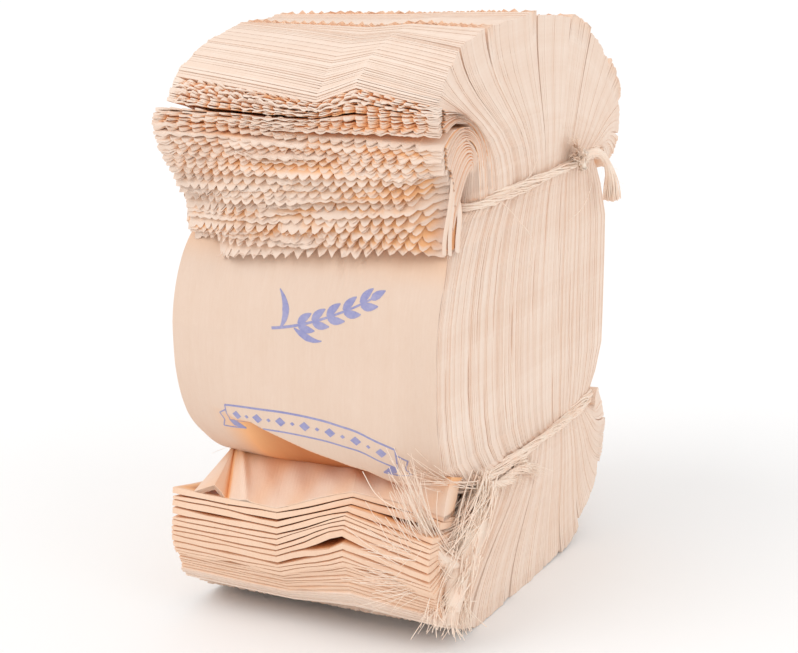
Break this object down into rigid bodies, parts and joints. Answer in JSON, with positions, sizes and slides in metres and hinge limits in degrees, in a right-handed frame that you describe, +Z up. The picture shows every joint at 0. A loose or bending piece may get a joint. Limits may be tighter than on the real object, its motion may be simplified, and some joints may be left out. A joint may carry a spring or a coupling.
{
  "type": "bundle of kraft paper bags",
  "caption": "Stack of new flat kraft paper bags tied with two rings of sisal twine, with saw-toothed mouths and folded bottoms fanning out above and below.",
  "frame": {"origin": "middle of the whole outline, on the surface that the bundle stands on", "axes": "+Z up along the bags, -Y out of the printed front bag, +X across the bags towards the side with the upper knot"},
  "size_m": [0.1064, 0.1654, 0.1997],
  "materials": {
    "kraft_paper": "uncoated light kraft",
    "printed_paper": "uncoated light kraft with a blue print",
    "sisal_twine": "twisted natural fibre"
  },
  "bodies": {
    "root": {"bag_stack": "kraft_paper", "front_bag": "printed_paper", "top_twine": "sisal_twine", "bottom_twine": "sisal_twine"}
  },
  "joints": []
}
